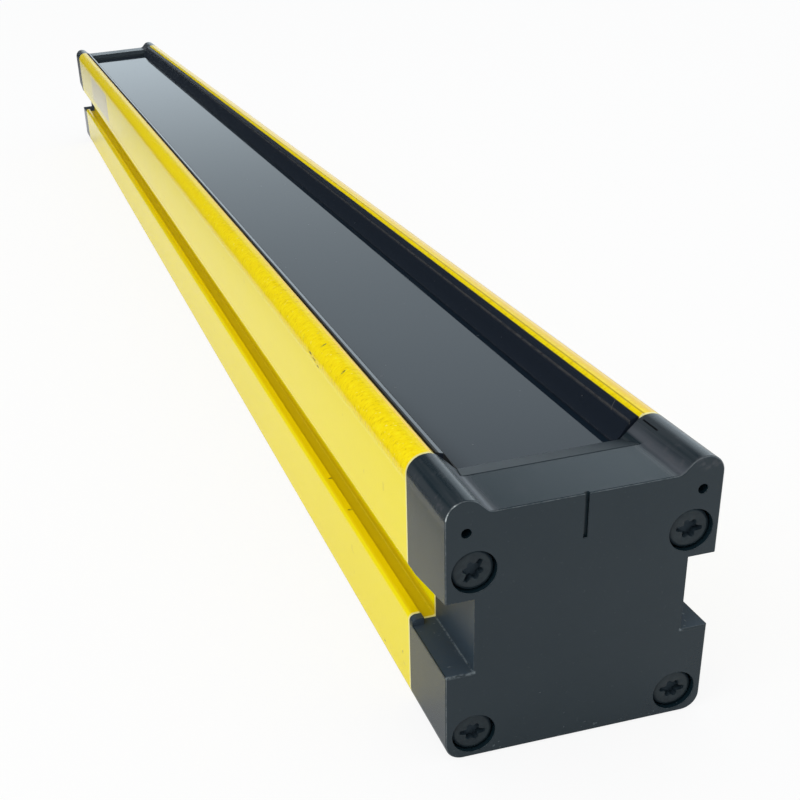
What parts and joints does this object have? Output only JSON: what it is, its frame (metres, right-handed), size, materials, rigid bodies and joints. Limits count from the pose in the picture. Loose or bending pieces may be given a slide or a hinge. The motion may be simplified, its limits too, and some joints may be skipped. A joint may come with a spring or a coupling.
{
  "type": "safety light curtain bar",
  "caption": "Long yellow metal bar with a slot in each side, black end caps and a smoked front window recessed between two rounded lugs; one cap carries a round plug connector.",
  "frame": {"origin": "middle of the flat back face, halfway between the outer faces of the two end caps", "axes": "+Z is the way the front window faces, +Y runs along the bar towards the cap with the connector, +X is to the right when looking along +Y"},
  "size_m": [0.052, 0.676, 0.0555],
  "materials": {
    "housing": "satin powder coat",
    "window": "gloss",
    "seal": "matt",
    "trim": "satin",
    "cap": "satin",
    "strip": "satin",
    "screw": "black oxide",
    "connector_metal": "satin nickel",
    "connector_plastic": "matt",
    "contact": "gilt",
    "carrier": "matt",
    "lens": "gloss",
    "board": "satin",
    "chip": "matt",
    "display": "gloss",
    "flat_cable": "satin",
    "lead": "satin"
  },
  "bodies": {
    "root": {"housing_profile": "housing", "front_window": "window", "left_window_seal": "seal", "right_window_seal": "seal", "left_window_trim": "trim", "right_window_trim": "trim", "near_end_cap": "cap", "far_end_cap": "cap", "near_window_strip": "strip", "far_window_strip": "strip", "near_cap_gasket": "seal", "far_cap_gasket": "seal", "near_cap_screws": "screw", "far_cap_screws": "screw", "connector_seal": "seal", "connector_shell": "connector_metal", "connector_insert": "connector_plastic", "connector_contacts": "contact", "connector_nut": "connector_metal", "optics_carrier": "carrier", "lens_plates": "lens", "aperture_mask": "carrier", "emitter_board": "board", "light_elements": "chip", "status_display": "display", "main_board": "board", "board_parts": "chip", "flat_cable": "flat_cable", "lead_bundle": "lead"}
  },
  "joints": []
}
